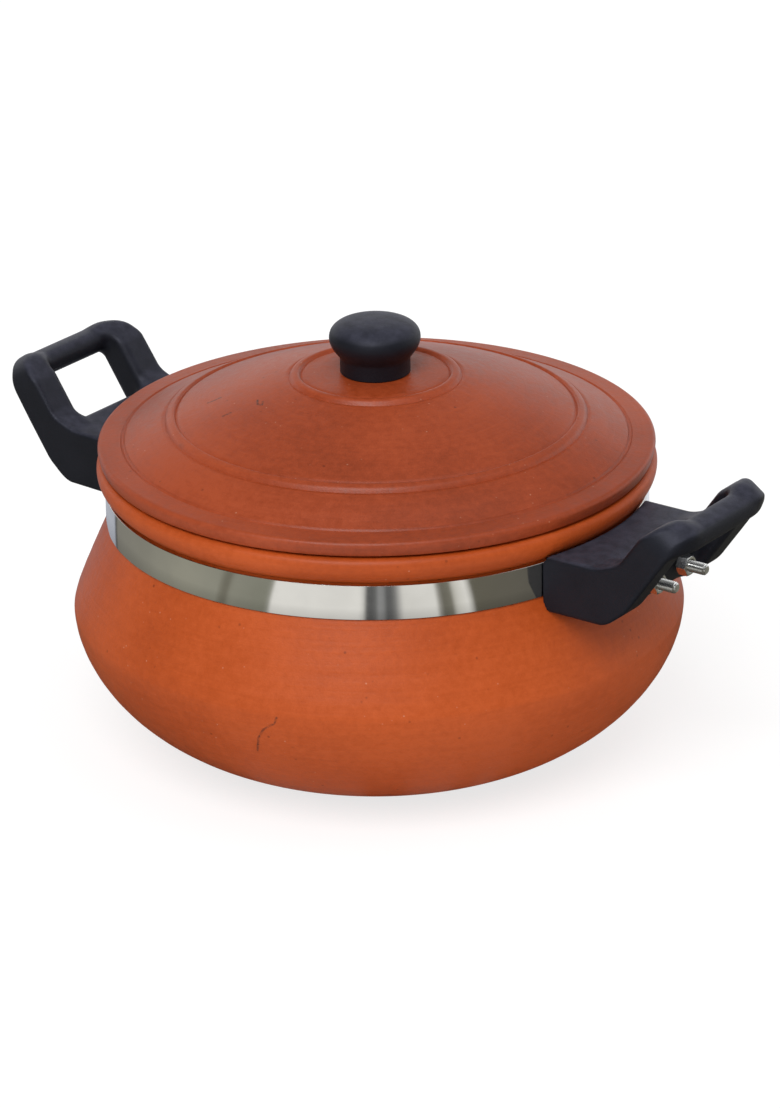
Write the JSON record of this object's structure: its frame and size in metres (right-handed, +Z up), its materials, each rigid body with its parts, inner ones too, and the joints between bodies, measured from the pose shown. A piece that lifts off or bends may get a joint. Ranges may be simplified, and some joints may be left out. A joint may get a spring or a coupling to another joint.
{
  "type": "clay cooking pot with lid",
  "caption": "Round-bellied terracotta cooking pot with a domed clay lid, dark knob, steel neck band and dark bolted loop handles on opposite sides.",
  "frame": {"origin": "centre of the pot's foot, on the surface it stands on", "axes": "+X along the two handles, +Z up through the knob, +Y across"},
  "size_m": [0.354, 0.261, 0.1892],
  "materials": {
    "pot_clay": "unglazed orange terracotta, burnished, with faint turning lines",
    "lid_clay": "unglazed terracotta, browner and drier than the pot, fine turning lines",
    "handle_bakelite": "moulded black bakelite, soft sheen, fine grain, parting line",
    "knob_bakelite": "moulded black bakelite, soft sheen",
    "band_steel": "polished stainless strip, mirror bright along its length",
    "fastener_zinc": "bright zinc-plated steel",
    "insert_brass": "plain turned brass"
  },
  "bodies": {
    "pot": {"pot_body": "pot_clay", "band_front": "band_steel", "band_back": "band_steel", "handle_right": "handle_bakelite", "handle_left": "handle_bakelite", "bolt_right_front": "fastener_zinc", "nut_right_front": "fastener_zinc", "bolt_right_back": "fastener_zinc", "nut_right_back": "fastener_zinc", "bolt_left_front": "fastener_zinc", "nut_left_front": "fastener_zinc", "bolt_left_back": "fastener_zinc", "nut_left_back": "fastener_zinc"},
    "lid_set": {"lid": "lid_clay", "knob": "knob_bakelite", "knob_insert": "insert_brass", "knob_screw": "fastener_zinc", "knob_washer": "fastener_zinc"}
  },
  "joints": [
    {"name": "lid_lift", "type": "slide", "parent": "pot", "child": "lid_set", "axis": [0, 0, 1], "range_m": [0, 0.12]}
  ]
}
